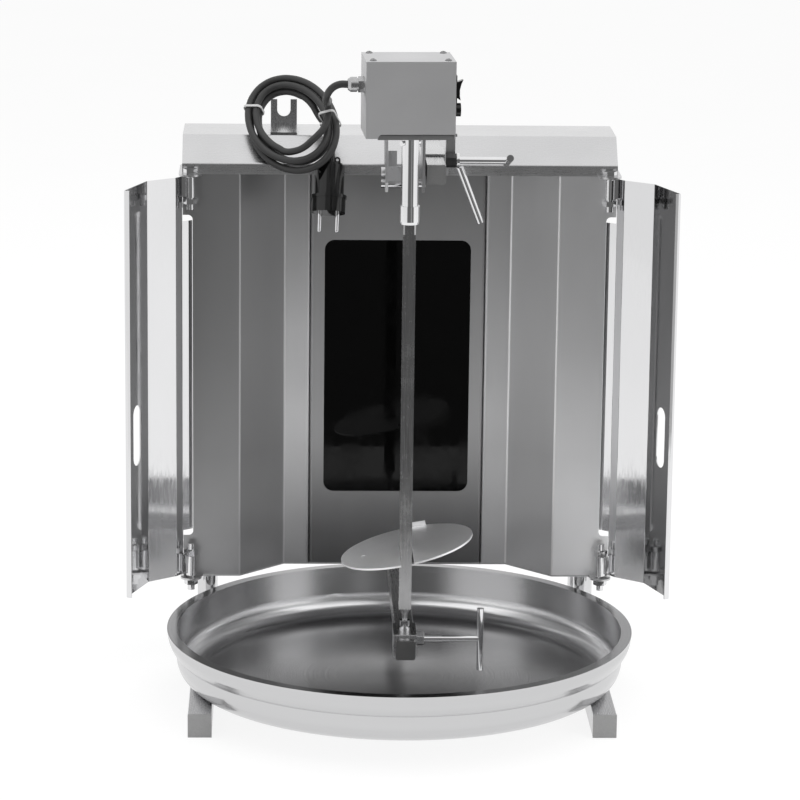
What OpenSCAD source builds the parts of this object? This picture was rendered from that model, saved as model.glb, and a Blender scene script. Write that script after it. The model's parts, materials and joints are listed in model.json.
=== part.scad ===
// Upright roasting machine: a turning spit with a meat disc stands over a round pan,
// in front of a heating cabinet with two swinging doors. A gear motor hangs on a
// sliding arm above it. Millimetres, +Z up, the pan's centre on the ground is the origin,
// the doors open towards -Y.

/* [Pan] */
// outside diameter of the rolled rim
pan_d = 500.4; // [400:0.2:600]
// height of the rim above the ground
pan_top = 81; // [60:1:85]
// inside corner radius between wall and bottom
pan_corner_r = 25; // [5:1:40]
// width of the rim beyond the wall
pan_rim_w = 10.2; // [5:0.2:16]
// thickness of the pan's sheet
pan_sheet = 1.2; // [0.8:0.1:3]

/* [Legs and posts] */
// side of the square leg tubes
leg_side = 25; // [20:1:40]
// distance between the legs' centres
leg_gap = 424; // [300:1:500]
// front end of the legs
leg_front_y = -136; // [-200:1:0]
// rear end of the legs and of the cabinet
rear_y = 250; // [230:1:300]
// diameter of the round posts
post_d = 21; // [14:1:30]
// distance between the posts' centres, left to right
post_gap = 422; // [300:1:440]

/* [Cabinet] */
// underside of the floor plate
floor_z = 96.5; // [90:0.5:120]
// underside of the top plate
ceiling_z = 549.5; // [450:0.5:650]
// thickness of the floor and top plates
plate_t = 2; // [1:0.5:4]
// thickness of the panels' sheet
sheet_t = 1.5; // [0.8:0.1:3]
// front face of the outer panels
ear_y = 140; // [120:1:160]
// front face of the middle panel
panel_y = 190; // [160:1:210]
// half the width of the middle panel
panel_half_w = 97; // [80:1:120]
// where the slanted wing leaves the middle panel
wing_inner_x = 125.3; // [110:0.1:150]
// where the slanted wing meets the outer panel
wing_outer_x = 174.3; // [150:0.1:200]
// outer edge of the outer panels
ear_x = 225.8; // [200:0.1:240]
// outer edge of the tabs at their ends
ear_tab_x = 236.5; // [210:0.1:250]
// height of the tabs
ear_tab_h = 50; // [20:1:100]
// width of the glass opening
glass_w = 162; // [100:1:200]
// lower edge of the glass opening
glass_bottom = 181.7; // [150:0.1:250]
// upper edge of the glass opening
glass_top = 468.6; // [350:0.1:520]
// corner radius of the glass opening
glass_r = 11; // [2:1:30]

/* [Hood] */
// width of the hood
hood_w = 474; // [400:1:520]
// height of the front lip
lip_h = 9.7; // [5:0.1:20]
// height of the hood over the top plate
hood_h = 37.5; // [20:0.5:60]

/* [Arms] */
// side of the square arms
arm_side = 20; // [15:1:30]
// outer side of the sleeves that slide on them
sleeve_side = 24.4; // [22:0.1:34]
// middle of the lower arm, left to right
lower_arm_x = 2; // [-20:1:20]
// middle height of the lower arm
lower_arm_z = 96; // [90:1:120]
// front end of the lower arm
lower_arm_y = -140; // [-180:1:-120]
// middle of the upper arm, left to right
upper_arm_x = 32.6; // [20:0.1:60]
// middle height of the upper arm
upper_arm_z = 576; // [560:1:600]
// front end of the upper arm
upper_arm_y = -16; // [-40:1:20]

/* [Spit] */
// distance of the spit in front of the pan's centre
spit_y = -100; // [-150:1:-50]
// side of the square spit
spit_side = 13; // [8:1:20]
// diameter of the meat disc
disc_d = 140; // [100:5:220]
// slope of the meat disc
disc_tilt = 12.5; // [0:0.5:20]
// height of the meat disc's middle
disc_z = 197.5; // [160:0.5:300]
// outside diameter of the drive tube
drive_d = 17.6; // [14:0.2:19]

/* [Motor head] */
// width of the motor cover
head_w = 90.8; // [70:0.2:140]
// depth of the motor cover
head_l = 76; // [50:1:120]
// front face of the motor cover
head_y = -126.5; // [-150:0.5:-110]
// underside of the motor cover
head_z = 631; // [620:1:680]
// height of the motor cover
head_h = 78; // [50:1:120]
// turn of the motor head about the spit
head_turn = 2.75; // [0:0.25:10]

/* [Doors] */
// hinge axis, distance from the middle
hinge_x = 228; // [200:1:250]
// hinge axis, distance behind the pan's centre
hinge_y = 132; // [110:1:135]
// lower edge of the doors
door_bottom = 100; // [99:0.5:150]
// upper edge of the doors
door_top = 547.5; // [400:0.5:549]
// thickness of the door sheet
door_t = 1.2; // [0.8:0.1:3]
// width of the grip slot
grip_w = 20; // [12:1:30]
// length of the grip slot
grip_l = 67; // [30:1:120]
// middle height of the grip slot
grip_z = 273.5; // [150:0.5:450]

/* [Cord] */
// diameter of the mains lead
cord_d = 7.6; // [5:0.1:10]
// height between the coil's two layers
layer_gap = 8.2; // [6:0.1:12]

/* [Hidden] */
$fn = 64;
clear = 0.1;
bend_r = 3;
bend_steps = 4;
bolt_d = 8;
nut_r = 6.5 / cos(30);
leg_x = leg_gap / 2;
post_x = post_gap / 2;
front_post_y = 160;
rear_post_y = 238;
tube_wall = 1.5;
post_z = leg_side;
cover_x = 225;
floor_top = floor_z + plate_t;
ceiling_top = ceiling_z + plate_t;
hood_top = ceiling_top + hood_h;
fold_y = ear_y + hood_h - lip_h;
pan_r = pan_d / 2;
pan_wall_r = pan_r - pan_rim_w;
arm_end_y = 243;
arm_wall = 2;
cap_t = 4;
sleeve_wall = (sleeve_side - arm_side) / 2 - clear;
upper_sleeve_y = [45, 95];
lower_sleeve_y = [-123, -78];
spit_x = lower_arm_x;
clamp_y = 80;
clamp_z = upper_arm_z;
lower_clamp_z = 97.5;
spit_bottom = 131;
spit_top = 545.5;
drive_end = 554.5;
drive_top = 629;
collar_z = [539.4, 542.2, 558.2];
collar_d = 20.8;
collar_end_d = 19;
spit_neck_d = 16.2;
spit_neck = 529;
rod_y = -12;
rod_z = 566;
rocker_x = 43.5;
rocker_z = 679;
rocker_rest = 7;
pivot_d = 3;
handle_tilt = 13.5;
fuse_z = 657.5;
switch_y = -104;
gland_y = -95;
gland_z = 682;
gland_end = -62;
cord_r = cord_d / 2;

// the mains lead's route from the gland down to the coil, before its last straight piece
lead_route = [
    [-75.8, -97.8, 679.6], [-80.2, -95.4, 675.2], [-82.8, -90, 669.8], [-83.8, -81, 664.6],
    [-83.8, -67, 660.4], [-83.2, -46, 656], [-82.4, -23, 652.4], [-81.4, 2, 649],
    [-80.6, 25, 646], [-80, 48, 643.4], [-79.5, 70, 641], [-79.2, 90, 638.5],
    [-79, 104, 636], [-79, 114, 633], [-79, 120.8, 628.8], [-79, 124.2, 623.6],
    [-79.4, 124.4, 617.6], [-80.6, 121.2, 611], [-83.8, 116, 604.6], [-89.4, 111.6, 598.4],
    [-96.4, 109.6, 592], [-105, 110, 584.5], [-115, 114.5, 579.5]
];
// the lead's route from the coil to the plug, between its straight ends
plug_route = [
    [-95.5, 166, 621.5], [-91.5, 163, 615], [-87.5, 159.5, 609],
    [-82.5, 153.5, 604], [-77.5, 145.5, 598]
];

// the coil lies in a plane that leans back on the hood, its right side held off by the plug's lead
coil_centre = [-118, 148.5, 602.5];
coil_normal = unit([-0.33, -0.7071, 0.7071]);
coil_right = unit(cross([0, 0, 1], coil_normal));
coil_up = cross(coil_normal, coil_right);
coil_slant = -45;
oval_in = [46, 29.4];
oval_out = [68, 47.4];
oval_in_centre = [-3, 4];
oval_out_centre = [-1.5, 1.5];
coil_first = 0.25;
coil_middle = 2;
coil_last = 3.75;
rings_per_loop = 24;
coil_sides = 6;
lead_sides = 8;
plug_pos = [-76.5, 125.3, 564];
plug_lean = [-20, 2, 0];

// Functions for bent sheets: an open line of points is thickened to its left by t.
function unit(v) = v / norm(v);
function left_of(v) = [-v.y, v.x];
function mitre(p, i, t) =
    let (last = len(p) - 1,
         a = i == 0 ? unit(p[1] - p[0]) : unit(p[i] - p[i - 1]),
         b = i == last ? a : unit(p[i + 1] - p[i]),
         m = unit(left_of(a) + left_of(b)))
    p[i] + m * t / (m * left_of(a));
// an open line with its inner corners rounded to radius r
function arc_at(p, i, r) =
    let (a = unit(p[i] - p[i - 1]),
         b = unit(p[i + 1] - p[i]),
         turn = acos(a * b) * sign(left_of(a) * b),
         first = p[i] - a * r * tan(abs(turn) / 2),
         centre = first + sign(turn) * r * left_of(a),
         d = first - centre)
    [for (k = [0:bend_steps]) let (w = turn * k / bend_steps)
        centre + [d.x * cos(w) - d.y * sin(w), d.x * sin(w) + d.y * cos(w)]];
function eased(p, r) =
    [for (i = [0:len(p) - 1]) each i == 0 || i == len(p) - 1 ? [p[i]] : arc_at(p, i, r)];
function reversed(p) = [for (i = [len(p) - 1:-1:0]) p[i]];
function bent(p, t) =
    let (other = [for (i = [len(p) - 1:-1:0]) mitre(p, i, t)], outline = concat(p, other))
    t > 0 ? outline : reversed(outline);
function mirrored(p) = [for (i = [len(p) - 1:-1:0]) [-p[i].x, p[i].y]];

// Functions for the cord: a tube is swept along points, with its rings square to the route.
function along(p, i) =
    i == 0 ? unit(p[1] - p[0])
    : i == len(p) - 1 ? unit(p[i] - p[i - 1])
    : unit(unit(p[i + 1] - p[i]) + unit(p[i] - p[i - 1]));
function ring(c, dir, ref, r, sides) =
    let (a = unit(cross(dir, ref)), b = cross(dir, a))
    [for (k = [0:sides - 1]) c + r * (a * cos(360 * k / sides) + b * sin(360 * k / sides))];
function tube_points(p, ref, r, sides) =
    [for (i = [0:len(p) - 1]) each ring(p[i], along(p, i), ref, r, sides)];
function tube_faces(rings, sides) = concat(
    [[for (k = [sides - 1:-1:0]) k]],
    [for (i = [0:rings - 2]) for (k = [0:sides - 1])
        let (a = i * sides + k, b = i * sides + (k + 1) % sides)
        each [[a, b, b + sides], [a, b + sides, a + sides]]],
    [[for (k = [0:sides - 1]) (rings - 1) * sides + k]]);
function length_of(p, i = 1) = i >= len(p) ? 0 : norm(p[i] - p[i - 1]) + length_of(p, i + 1);

// The coil: t counts turns from the right-hand side, downwards first. It spirals out in the
// front layer, climbs to the back layer in the half turn round coil_middle and spirals in.
function spread(t) =
    let (u = abs(t - coil_middle))
    u < 0.25 ? 1 - u * u - 0.0625 : 1 - u / 2;
function layer(t) =
    let (u = min(max((t - coil_middle) * 2 + 0.5, 0), 1))
    layer_gap / 2 * (1 - 2 * u * u * (3 - 2 * u));
function oval(ab, angle) =
    ab.x * ab.y / norm([ab.y * cos(angle), ab.x * sin(angle)]);
function in_plane(t) =
    let (s = spread(t),
         angle = -360 * t,
         r = oval(oval_in, angle - coil_slant) * (1 - s) + oval(oval_out, angle - coil_slant) * s,
         c = oval_in_centre * (1 - s) + oval_out_centre * s)
    c + r * [cos(angle), sin(angle)];
function placed(uv, w) = coil_centre + uv.x * coil_right + uv.y * coil_up + w * coil_normal;
function coil_at(t) = placed(in_plane(t), layer(t));
coil_steps = round((coil_last - coil_first) * rings_per_loop);
coil_path = [for (i = [0:coil_steps]) coil_at(coil_first + i / rings_per_loop)];
coil_start_dir = along(coil_path, 0);
coil_end_dir = along(coil_path, len(coil_path) - 1);

// the head's own frame is turned about the spit
function turned(p) =
    let (d = [p.x - spit_x, p.y - spit_y])
    [spit_x + d.x * cos(head_turn) - d.y * sin(head_turn),
     spit_y + d.x * sin(head_turn) + d.y * cos(head_turn), p.z];
gland_out = turned([gland_end, gland_y, gland_z]);
gland_dir = [-cos(head_turn), -sin(head_turn), 0];
lead_path = concat([gland_out, gland_out + cord_d * gland_dir], lead_route,
    [coil_path[0] - cord_d * coil_start_dir, coil_path[0]]);
plug_up = [sin(plug_lean.y), sin(-plug_lean.x), cos(plug_lean.x)];
plug_entry = plug_pos + 20 * unit(plug_up);
plug_path = concat([coil_path[coil_steps], coil_path[coil_steps] + 3 * coil_end_dir],
    plug_route, [plug_entry + cord_d * unit(plug_up), plug_entry]);

// least distance between the coil's strands more than a third of a turn apart
coil_gap = min([for (i = [0:coil_steps]) for (j = [i + rings_per_loop / 3:coil_steps])
    norm(coil_path[i] - coil_path[j])]) - cord_d;
lead_gap = min([for (p = lead_path) for (j = [rings_per_loop / 3:coil_steps])
    norm(p - coil_path[j])]) - cord_d;
plug_gap = min([for (p = plug_path) for (j = [0:coil_steps - rings_per_loop / 3])
    norm(p - coil_path[j])]) - cord_d;
echo(least_gap_in_coil = coil_gap, lead_to_coil = lead_gap, plug_lead_to_coil = plug_gap);
echo(cord_length = length_of(lead_path) + length_of(coil_path) + length_of(plug_path));

module steel() { color([0.78, 0.78, 0.79]) children(); }
module dark() { color([0.12, 0.12, 0.13]) children(); }
module black() { color([0.05, 0.05, 0.06]) children(); }
module both_sides() { children(); mirror([1, 0, 0]) children(); }
module box(lo, hi) { translate(lo) cube(hi - lo); }
module rod(p, d, l) { translate(p) cylinder(h = l, d = d); }
module rod_x(p, d, l) { translate(p) rotate([0, 90, 0]) cylinder(h = l, d = d); }
module rod_y_way(p, d, l) { translate(p) rotate([-90, 0, 0]) cylinder(h = l, d = d); }
module hex(p, h) { translate(p) cylinder(h = h, r = nut_r, $fn = 6); }
module hex_x(p, h) { translate(p) rotate([0, 90, 0]) cylinder(h = h, r = nut_r, $fn = 6); }
module rounded(w, h, r) {
    square([w, h - 2 * r], center = true);
    square([w - 2 * r, h], center = true);
    for (x = [-1, 1], y = [-1, 1])
        translate([x * (w / 2 - r), y * (h / 2 - r)]) circle(r);
}
// a side profile in Y and Z drawn out along X
module side_profile(x0, x1) { translate([x0, 0, 0]) rotate([90, 0, 90]) linear_extrude(x1 - x0) children(); }
// a front outline in X and Z drawn out along Y
module front_outline(y0, y1) { translate([0, y1, 0]) rotate([90, 0, 0]) linear_extrude(y1 - y0) children(); }
// a square tube along Y with an open bore
module square_tube(x, z, side, y0, y1, wall) {
    out = side / 2;
    in = out - wall;
    difference() {
        box([x - out, y0, z - out], [x + out, y1, z + out]);
        box([x - in, y0 - 1, z - in], [x + in, y1 + 1, z + in]);
    }
}

module legs() {
    steel() both_sides() difference() {
        square_tube(leg_x, leg_side / 2, leg_side, leg_front_y + 2, rear_y - 2, tube_wall);
        for (y = [front_post_y, rear_post_y])
            rod([post_x, y, leg_side - 5], bolt_d + 4 * clear, 10);
    }
}

module leg_end_caps() {
    plug = leg_side - 2 * tube_wall - clear;
    color([0.86, 0.86, 0.86]) both_sides() {
        for (y = [leg_front_y, rear_y - 2])
            box([leg_x - leg_side / 2, y, 0], [leg_x + leg_side / 2, y + 2, leg_side]);
        box([leg_x - plug / 2, leg_front_y + 2, leg_side / 2 - plug / 2],
            [leg_x + plug / 2, leg_front_y + 10, leg_side / 2 + plug / 2]);
    }
}

module cross_bars() {
    inner = leg_x - leg_side / 2;
    steel() for (y = [150, 225]) difference() {
        box([-inner, y - 10, 2.5], [inner, y + 9.8, 22.5]);
        box([-inner - 1, y - 10 + tube_wall, 4], [inner + 1, y + 9.8 - tube_wall, 21]);
    }
}

module posts() {
    steel() both_sides() for (y = [front_post_y, rear_post_y]) difference() {
        rod([post_x, y, post_z], post_d, floor_z - post_z);
        rod([post_x, y, post_z - 1], bolt_d + 4 * clear, floor_z - post_z + 2);
    }
}

module post_bolts() {
    steel() both_sides() for (y = [front_post_y, rear_post_y]) {
        rod([post_x, y, leg_side - tube_wall], bolt_d, floor_top + 8 - leg_side + tube_wall);
        hex([post_x, y, leg_side - tube_wall - 5.5], 5.5);
        difference() {
            hex([post_x, y, floor_top], 6);
            rod([post_x, y, floor_top - 1], bolt_d + 2 * clear, 8);
        }
    }
}

// outline of a cabinet plate: the ears at its front corners carry the hinges
module plate_outline(front, back_x, ear_r) {
    difference() {
        union() {
            polygon(concat(front, mirrored(front)));
            both_sides() {
                translate([hinge_x, hinge_y]) circle(ear_r);
                polygon([[hinge_x - 13, ear_y + 1], [hinge_x - 9, hinge_y - 7], [hinge_x, hinge_y - 2],
                    [hinge_x + ear_r, hinge_y], [hinge_x + ear_r, panel_y], [back_x - 1, panel_y + 14],
                    [hinge_x - 13, panel_y + 14]]);
            }
        }
        for (s = [-1, 1])
            translate([s * hinge_x, hinge_y]) circle(d = bolt_d + 4 * clear);
    }
}

module floor_plate() {
    front = [[wing_inner_x, panel_y], [wing_outer_x, ear_y], [hinge_x - 10, ear_y],
        [cover_x, ear_y + 20], [cover_x, rear_y]];
    steel() translate([0, 0, floor_z]) linear_extrude(plate_t) difference() {
        plate_outline(front, cover_x, 11.7);
        for (s = [-1, 1], y = [front_post_y, rear_post_y])
            translate([s * post_x, y]) circle(d = bolt_d + 4 * clear);
        translate([lower_arm_x - arm_side / 2, panel_y - 1]) square([arm_side, arm_end_y - panel_y + 1]);
    }
}

module top_plate() {
    front = [[hinge_x - 10, ear_y], [236, ear_y + 20], [236, rear_y]];
    steel() translate([0, 0, ceiling_z]) linear_extrude(plate_t)
        plate_outline(front, 236, 12.5);
}

module rear_cover() {
    front = ear_y + sheet_t;
    corners = [[-cover_x, front], [-cover_x, rear_y], [cover_x, rear_y], [cover_x, front]];
    line = eased(corners, bend_r + sheet_t);
    steel() difference() {
        translate([0, 0, floor_top]) linear_extrude(ceiling_z - floor_top) polygon(bent(line, -sheet_t));
        for (x = [-150, -65, 0, 65, 150], z = [140, 160, 180, 470, 490, 510])
            translate([x, 0, z]) front_outline(rear_y - 3, rear_y + 1) rounded(44, 6, 2.9);
        rod_y_way([180, rear_y - 5, 125], 16, 10);
    }
}

// the right wing: a middle strip, the slanted wing and the outer panel with its four tabs
module wing() {
    line = [[panel_half_w + 0.5, panel_y + 10], [panel_half_w + 0.5, panel_y], [wing_inner_x, panel_y],
        [wing_outer_x, ear_y], [ear_tab_x, ear_y]];
    low = floor_top + ear_tab_h;
    high = ceiling_z - ear_tab_h;
    difference() {
        translate([0, 0, floor_top]) linear_extrude(ceiling_z - floor_top)
            polygon(bent(eased(line, bend_r), sheet_t));
        front_outline(ear_y - 1, ear_y + 4) {
            translate([ear_x, low]) square([20, high - low]);
            translate([ear_x + 5, low - 5]) square([20, high - low + 10]);
            for (z = [low, high])
                translate([ear_x + 5, z]) circle(5);
        }
    }
}

module left_wing() { steel() mirror([1, 0, 0]) wing(); }
module right_wing() { steel() wing(); }

module centre_panel() {
    fold = 12;
    line = [[-panel_half_w + 0.5, panel_y + fold], [-panel_half_w + 0.5, panel_y],
        [panel_half_w - 0.5, panel_y], [panel_half_w - 0.5, panel_y + fold]];
    steel() difference() {
        translate([0, 0, floor_top]) linear_extrude(ceiling_z - floor_top)
            polygon(bent(eased(line, bend_r), sheet_t));
        front_outline(panel_y - 1, panel_y + 3)
            translate([0, (glass_bottom + glass_top) / 2])
                rounded(glass_w, glass_top - glass_bottom, glass_r);
        box([lower_arm_x - arm_side / 2, panel_y - 1, floor_top - 1],
            [lower_arm_x + arm_side / 2, panel_y + 3, lower_arm_z + arm_side / 2]);
    }
}

module glass() {
    color([0.03, 0.03, 0.03]) box([-glass_w / 2 - 8, panel_y + sheet_t, glass_bottom - 8],
        [glass_w / 2 + 8, panel_y + sheet_t + 4, glass_top + 8]);
}

module glass_frame() {
    y = panel_y + sheet_t;
    steel() difference() {
        box([-glass_w / 2 - 10.8, y, glass_bottom - 20], [glass_w / 2 + 10.8, y + 6, glass_top + 20]);
        box([-glass_w / 2 - 8.2, y - 1, glass_bottom - 8.2], [glass_w / 2 + 8.2, y + 7, glass_top + 8.2]);
    }
}

module reflector() {
    line = [[-90, 201], [-90, 223], [90, 223], [90, 201]];
    steel() translate([0, 0, glass_bottom]) linear_extrude(glass_top - glass_bottom) polygon(bent(line, 1));
}

module heating_element() {
    run = 24;
    y = 210;
    low = glass_bottom + 25;
    high = glass_top - 25;
    tail = 40;
    color([0.35, 0.33, 0.32]) {
        for (i = [0:5]) let (end = i == 0 || i == 5 ? low - tail : low)
            rod([(i - 2.5) * run, y, end], 8, high - end);
        for (i = [0:4])
            translate([(i - 2) * run, y, i % 2 == 0 ? high : low]) rotate([i % 2 == 0 ? 90 : -90, 0, 0])
                rotate_extrude(angle = 180) translate([run / 2, 0]) circle(4);
    }
}

module insulation() {
    color([0.8, 0.76, 0.66]) box([-90, 224.5, glass_bottom], [90, 244, glass_top]);
}

module terminal_block() {
    color([0.85, 0.83, 0.78]) difference() {
        box([120, 210, floor_top], [165, 230, floor_top + 20]);
        for (x = [127.5, 142.5, 157.5])
            rod([x, 220, floor_top + 8], 6, 20);
    }
}

module hood() {
    line = eased([[ear_y, ceiling_top], [ear_y, ceiling_top + lip_h], [fold_y, hood_top],
        [rear_y, hood_top], [rear_y, ceiling_top]], bend_r + sheet_t);
    steel() difference() {
        union() {
            side_profile(-hood_w / 2, hood_w / 2) polygon(bent(line, -sheet_t));
            for (x = [-hood_w / 2, hood_w / 2 - sheet_t])
                side_profile(x, x + sheet_t) polygon(line);
        }
        box([upper_arm_x - arm_side / 2 - 0.4, ear_y - 5, upper_arm_z - arm_side / 2 - 0.4],
            [upper_arm_x + arm_side / 2 + 0.4, fold_y + 4, upper_arm_z + arm_side / 2 + 0.4]);
        for (x = [-160, -80, 0, 80, 160])
            translate([x, 0, ceiling_top + 20]) front_outline(rear_y - 3, rear_y + 1) rounded(56, 6, 2.9);
        both_sides() front_outline(ear_y - 1, ear_y + sheet_t + 1)
            translate([hood_w / 2, ceiling_top]) polygon([[-6, -1], [1, 6], [1, -1]]);
    }
}

module spit_rest() {
    x0 = -141.4;
    x1 = -112.6;
    slot_w = 14.7;
    back = 232.5;
    t = 2.5;
    color([0.6, 0.6, 0.61]) {
        box([x0, 168, hood_top], [x1, back, hood_top + t]);
        difference() {
            box([x0, back - t, hood_top + t], [x1, back, hood_top + 30]);
            front_outline(back - t - 1, back + 1) translate([(x0 + x1) / 2, hood_top + 11 + slot_w / 2]) {
                circle(d = slot_w);
                translate([-slot_w / 2, 0]) square([slot_w, 30]);
            }
        }
    }
}

module arm_mounts() {
    low = upper_arm_z - arm_side / 2;
    steel() {
        for (y = [175, 222])
            box([upper_arm_x - arm_side / 2, y, ceiling_top], [upper_arm_x + arm_side / 2, y + 14, low]);
        for (y = [200, 225]) {
            for (s = [-1, 1])
                translate([lower_arm_x, 0, 0])
                    box([s > 0 ? 10 : -22, y, floor_top], [s > 0 ? 22 : -10, y + 12, floor_top + 2]);
            difference() {
                box([lower_arm_x - 12, y, floor_top + 2], [lower_arm_x + 12, y + 12, lower_arm_z + 12]);
                box([lower_arm_x - 10, y - 1, floor_top - 1], [lower_arm_x + 10, y + 13, lower_arm_z + 10]);
            }
        }
    }
}

module lower_arm() {
    steel() square_tube(lower_arm_x, lower_arm_z, arm_side, lower_arm_y + cap_t, arm_end_y, arm_wall);
}

module upper_arm() {
    steel() square_tube(upper_arm_x, upper_arm_z, arm_side, upper_arm_y + cap_t, arm_end_y, arm_wall);
}

// an end cap with its plug inside the tube
module arm_cap(x, z, y) {
    plug = arm_side - 2 * arm_wall - clear;
    front_outline(y, y + cap_t) translate([x, z]) rounded(arm_side, arm_side, 2);
    front_outline(y + cap_t, y + cap_t + 10) translate([x, z]) square([plug, plug], center = true);
}

module lower_arm_cap() { dark() arm_cap(lower_arm_x, lower_arm_z, lower_arm_y); }
module upper_arm_cap() { color([0.5, 0.5, 0.5]) arm_cap(upper_arm_x, upper_arm_z, upper_arm_y); }

// hinge bolts: one hangs from the top plate, one stands in the floor plate
module hinge_nut(z, h) {
    difference() {
        hex([hinge_x, hinge_y, z], h);
        rod([hinge_x, hinge_y, z - 1], bolt_d + 2 * clear, h + 2);
    }
}

module hinge_bolts() {
    rod([hinge_x, hinge_y, 512], bolt_d, ceiling_top - 512);
    hex([hinge_x, hinge_y, ceiling_top], 5.3);
    hinge_nut(518.4, 5.6);
    rod([hinge_x, hinge_y, 83.4], bolt_d, 136.5 - 83.4);
    hinge_nut(floor_z - 6.6, 6.6);
    hinge_nut(123, 6);
}

module left_hinge_bolts() { steel() mirror([1, 0, 0]) hinge_bolts(); }
module right_hinge_bolts() { steel() hinge_bolts(); }

// the right door: a tongue behind the wing's cut-out, a strip that steps forward past the
// barrels, two leaves and a hem. The tongue's end stops the door when it is fully open.
door_line = [[226.4, 144.3], [237.2, 136], [243.5, 126.4], [274, 103], [295.3, 42], [289.6, 40]];
tongue_z = [150, 498];
module door() {
    barrel_h = 22;
    strip = door_line[1];
    leaf_mid = (door_line[3] + door_line[4]) / 2;
    leaf_angle = atan2(door_line[4].y - door_line[3].y, door_line[4].x - door_line[3].x);
    difference() {
        union() {
            difference() {
                translate([0, 0, door_bottom]) linear_extrude(door_top - door_bottom)
                    polygon(bent(eased(door_line, bend_r), door_t));
                for (z = [[door_bottom - 1, tongue_z[0]], [tongue_z[1], door_top + 1]])
                    box([strip.x - 20, strip.y - 5, z[0]], [strip.x - 0.6, strip.y + 20, z[1]]);
            }
            for (z = [door_bottom, door_top - barrel_h]) {
                rod([hinge_x, hinge_y, z], 11, barrel_h);
                box([hinge_x + 2, hinge_y + 3.7, z], [strip.x + 0.3, hinge_y + 5.1, z + barrel_h]);
            }
        }
        for (z = [door_bottom, door_top - barrel_h])
            rod([hinge_x, hinge_y, z - 1], bolt_d + clear, barrel_h + 2);
        translate([leaf_mid.x, leaf_mid.y, grip_z]) rotate([0, 0, leaf_angle]) rotate([90, 0, 0])
            linear_extrude(12, center = true) rounded(grip_w, grip_l, grip_w / 2 - 0.01);
    }
}

module left_door() { steel() mirror([1, 0, 0]) door(); }
module right_door() { steel() door(); }

module pan() {
    inner = pan_wall_r - pan_sheet;
    flat = pan_wall_r - pan_corner_r;
    band = [[pan_r, pan_top - 0.5], [pan_r - 0.8, pan_top - 7], [pan_r - 1.8, pan_top - 11],
        [pan_r - 3.3, pan_top - 15], [pan_r - 6.2, pan_top - 20], [pan_wall_r + 0.6, pan_top - 24]];
    steel() rotate_extrude($fn = 180) {
        translate([0, leg_side]) square([flat, pan_sheet]);
        intersection() {
            translate([flat, leg_side + pan_corner_r]) difference() {
                circle(pan_corner_r);
                circle(pan_corner_r - pan_sheet);
            }
            translate([flat, leg_side]) square(pan_corner_r);
        }
        translate([inner, leg_side + pan_corner_r]) square([pan_sheet, pan_top - leg_side - pan_corner_r]);
        translate([inner, pan_top - pan_sheet]) square([pan_r - inner, pan_sheet]);
        polygon(bent(band, -pan_sheet));
    }
}

module upper_sleeve() {
    steel() difference() {
        square_tube(upper_arm_x, upper_arm_z, sleeve_side, upper_sleeve_y[0], upper_sleeve_y[1], sleeve_wall);
        rod_x([upper_arm_x + 5, clamp_y, clamp_z], bolt_d + 4 * clear, 12);
    }
}

module clamp_nut() {
    x = upper_arm_x + sleeve_side / 2;
    color([0.3, 0.3, 0.3]) difference() {
        hex_x([x, clamp_y, clamp_z], 58 - x);
        rod_x([x - 1, clamp_y, clamp_z], bolt_d + 2 * clear, 20);
    }
}

// the plate between sleeve and head carries the cross rod at its front end
module side_plate() {
    x = upper_arm_x - sleeve_side / 2;
    top = head_z - 3;
    steel() difference() {
        side_profile(x - 3, x)
            polygon([[-26, 564], [-20, 558], [95, 560], [95, 588], [16, 590], [8, top], [-26, top]]);
        rod_x([x - 4, rod_y, rod_z], 9.2, 5);
    }
}

module cross_rod() {
    steel() rod_x([-25, rod_y, rod_z], 9, 46);
}

// the bracket under the motor head: a top plate, two legs, a sloping web and a bolt
module head_bracket() {
    top = head_z;
    left = -21;
    right = 50;
    steel() {
        box([left, -91, top - 3], [right, 104, top]);
        difference() {
            side_profile(left, left + 3)
                polygon([[-6, 615], [8, 617], [16, top - 3], [44, top - 3], [44, 612], [8, 566],
                    [-5, 559], [-24, 559], [-30, 570]]);
            rod_x([left - 1, rod_y, rod_z], 9.2, 5);
        }
        side_profile(left + 3, -1) polygon([[-30, 569], [-30, 571.5], [-22, 586], [-19, 586], [-27.5, 569]]);
        box([left + 3, -22, 586], [-9, -19, 602]);
        rod_x([left - 4, -8, 577.5], 10.4, 4);
        side_profile(right - 3, right)
            polygon([[88, top - 3], [102, top - 3], [102, 566], [95, 557], [88, 566]]);
        box([right, 88, 566], [right + 6.8, 90, top - 3]);
    }
}

// everything on the motor head is drawn straight and then turned about the spit
module head() {
    translate([spit_x, spit_y, 0]) rotate([0, 0, head_turn]) translate([-spit_x, -spit_y, 0]) children();
}

cover_t = 1.2;
notch_x = -33;
notch_h = 4.2;
screw_spots = [[-38, -117.5], [38, -117.5], [-38, -58.5], [38, -58.5]];

module motor_base() {
    x = head_w / 2 - cover_t - 0.1;
    dark() head() {
        difference() {
            box([-x, head_y + 4, head_z], [x, head_y + head_l - cover_t - 0.1, head_z + 3]);
            rod([spit_x, spit_y, head_z - 1], drive_d + 2, 5);
        }
        box([notch_x, head_y + 4, head_z - 1.8], [x, head_y + 5.5, head_z]);
        for (p = screw_spots)
            difference() {
                rod([p.x, p.y, head_z + 3], 7, head_h - cover_t - 3);
                rod([p.x, p.y, head_z + head_h - 15], 3.7, 20);
            }
    }
}

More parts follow.
